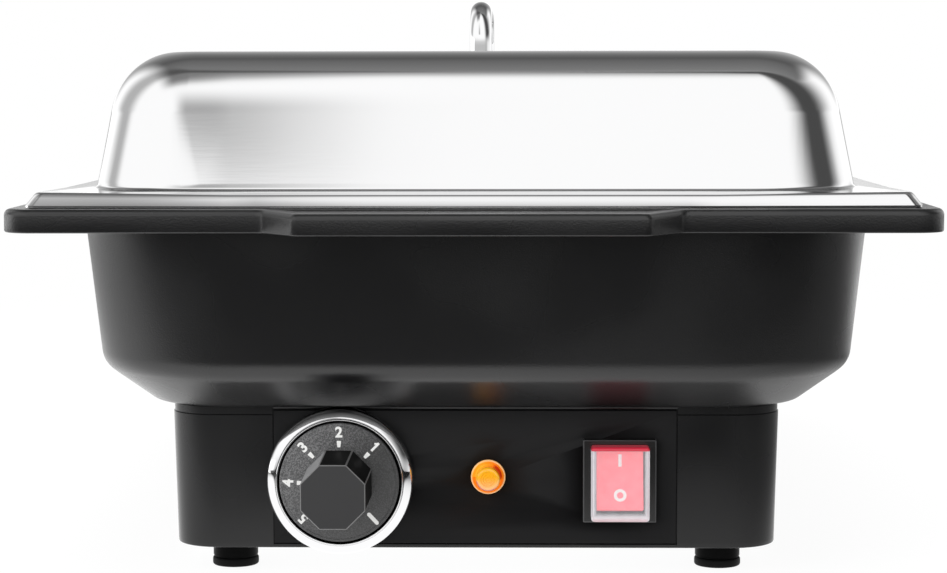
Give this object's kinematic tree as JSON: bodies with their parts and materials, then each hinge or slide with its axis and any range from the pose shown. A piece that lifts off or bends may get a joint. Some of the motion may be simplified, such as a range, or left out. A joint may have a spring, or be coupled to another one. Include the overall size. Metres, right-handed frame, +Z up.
{
  "type": "electric food warmer",
  "caption": "Electric food warmer: black moulded tub on a base with dial, lamp and rocker switch, holding a steel pan under a lift-off domed steel lid with a rod handle.",
  "frame": {"origin": "on the floor, under the middle of the object", "axes": "+Z up; the control panel and its short side face -Y; the long axis runs along Y; +X is to the right of someone facing the controls"},
  "size_m": [0.358, 0.599, 0.2361],
  "materials": {
    "black_plastic": "fine moulded grain",
    "panel_plastic": "satin",
    "knob_plastic": "fine grain on the dial",
    "stainless": "polished",
    "pan_steel": "satin",
    "chrome": "mirror",
    "zinc": "zinc plated",
    "aluminium": "as rolled",
    "copper": "drawn",
    "rubber": "matt",
    "pale_plastic": "plain",
    "amber_lens": "clear amber, lit",
    "red_rocker": "clear red, lit",
    "clear_boot": "clear and soft"
  },
  "bodies": {
    "base": {"tub": "black_plastic", "water_pan": "pan_steel", "base_housing": "black_plastic", "base_plate": "zinc", "base_screw_1": "zinc", "base_screw_2": "zinc", "base_screw_3": "zinc", "base_screw_4": "zinc", "tub_screw_1": "zinc", "tub_screw_2": "zinc", "tub_screw_3": "zinc", "tub_screw_4": "zinc", "foot_stem_1": "black_plastic", "foot_stem_2": "black_plastic", "foot_stem_3": "black_plastic", "foot_stem_4": "black_plastic", "foot_pad_1": "rubber", "foot_pad_2": "rubber", "foot_pad_3": "rubber", "foot_pad_4": "rubber", "foot_nut_1": "zinc", "foot_nut_2": "zinc", "foot_nut_3": "zinc", "foot_nut_4": "zinc", "control_panel": "panel_plastic", "knob_bezel": "chrome", "thermostat_body": "pale_plastic", "thermostat_screw_1": "zinc", "thermostat_screw_2": "zinc", "pilot_lens": "amber_lens", "pilot_body": "pale_plastic", "switch_frame": "panel_plastic", "switch_body": "panel_plastic", "switch_boot": "clear_boot", "heater_plate": "aluminium", "heating_element": "pan_steel", "heater_clamp_1": "zinc", "heater_clamp_2": "zinc", "heater_nut_1": "zinc", "heater_nut_2": "zinc", "thermal_cutout": "black_plastic", "sensor_bulb": "copper", "cable_gland": "black_plastic", "gland_nut": "zinc", "terminal_block": "pale_plastic"},
    "food_pan": {"food_pan": "pan_steel"},
    "lid": {"lid_shell": "stainless", "lid_handle": "chrome", "handle_washer_1": "zinc", "handle_washer_2": "zinc", "handle_screw_1": "zinc", "handle_screw_2": "zinc"},
    "knob": {"knob": "knob_plastic", "thermostat_shaft": "zinc"},
    "rocker": {"rocker": "red_rocker"}
  },
  "joints": [
    {"name": "pan_lift", "type": "slide", "parent": "base", "child": "food_pan", "axis": [0, 0, 1], "range_m": [0, 0.09]},
    {"name": "lid_lift", "type": "slide", "parent": "food_pan", "child": "lid", "axis": [0, 0, 1], "range_m": [0, 0.12]},
    {"name": "knob_turn", "type": "hinge", "parent": "base", "child": "knob", "pos_m": [-0.054, -0.2275, 0.0395], "axis": [0, -1, 0], "range_deg": [-135, 135]},
    {"name": "switch_rocker", "type": "hinge", "parent": "base", "child": "rocker", "pos_m": [0.058, -0.23, 0.0395], "axis": [1, 0, 0], "range_deg": [0, 24]}
  ]
}
